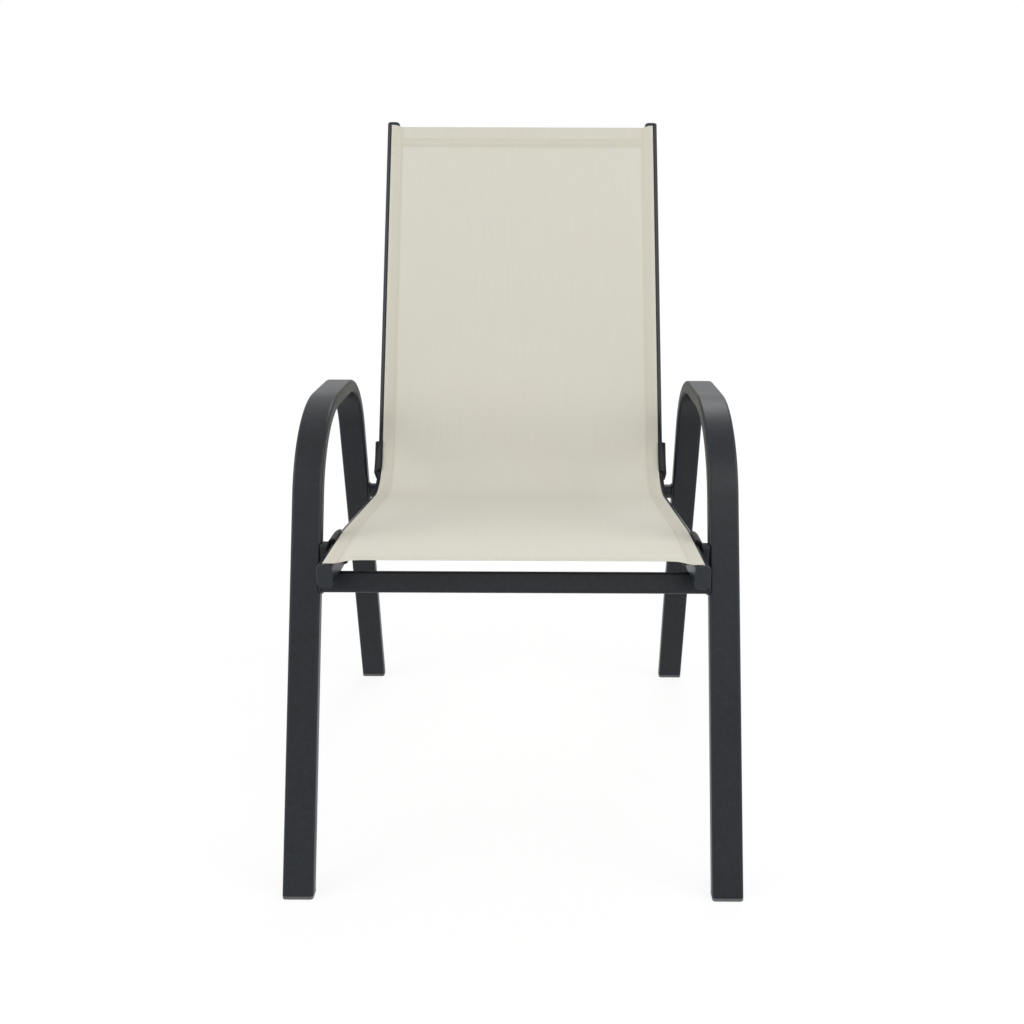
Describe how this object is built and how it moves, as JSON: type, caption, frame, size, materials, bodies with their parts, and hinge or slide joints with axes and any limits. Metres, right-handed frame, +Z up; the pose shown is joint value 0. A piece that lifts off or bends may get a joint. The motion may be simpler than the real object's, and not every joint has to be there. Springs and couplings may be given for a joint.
{
  "type": "sling patio chair",
  "caption": "Stacking patio armchair: bent flat-tube side frames, grooved bent rails that hold one stretched mesh sling, and plastic feet, caps and bumpers.",
  "frame": {"origin": "On the ground, in the middle of the overall box.", "axes": "+Z is up, +X is the right-hand side seen from the front, +Y is towards the back; the chair faces -Y."},
  "size_m": [0.561, 0.7562, 0.9224],
  "materials": {
    "frame_steel": "satin charcoal powder coat",
    "sling_mesh": "matt woven mesh",
    "spline_rod": "matt",
    "dark_plastic": "matt moulded",
    "cap_plastic": "matt moulded",
    "fastener_steel": "black plated"
  },
  "bodies": {
    "root": {"left_side_frame": "frame_steel", "left_front_foot": "dark_plastic", "left_rear_foot": "dark_plastic", "left_front_spacer": "dark_plastic", "left_front_bolt": "fastener_steel", "left_front_washer": "fastener_steel", "left_front_nut": "fastener_steel", "left_sling_rail": "frame_steel", "left_spline": "spline_rod", "left_back_bumper": "dark_plastic", "left_seat_bumper": "dark_plastic", "left_rear_saddle": "dark_plastic", "left_rear_bolt": "fastener_steel", "left_rear_washer": "fastener_steel", "left_rear_nut": "fastener_steel", "left_rail_front_cap": "cap_plastic", "left_rail_top_cap": "cap_plastic", "right_side_frame": "frame_steel", "right_front_foot": "dark_plastic", "right_rear_foot": "dark_plastic", "right_front_spacer": "dark_plastic", "right_front_bolt": "fastener_steel", "right_front_washer": "fastener_steel", "right_front_nut": "fastener_steel", "right_sling_rail": "frame_steel", "right_spline": "spline_rod", "right_back_bumper": "dark_plastic", "right_seat_bumper": "dark_plastic", "right_rear_saddle": "dark_plastic", "right_rear_bolt": "fastener_steel", "right_rear_washer": "fastener_steel", "right_rear_nut": "fastener_steel", "right_rail_front_cap": "cap_plastic", "right_rail_top_cap": "cap_plastic", "front_crossbar": "frame_steel", "rear_crossbar": "frame_steel", "sling": "sling_mesh"}
  },
  "joints": []
}
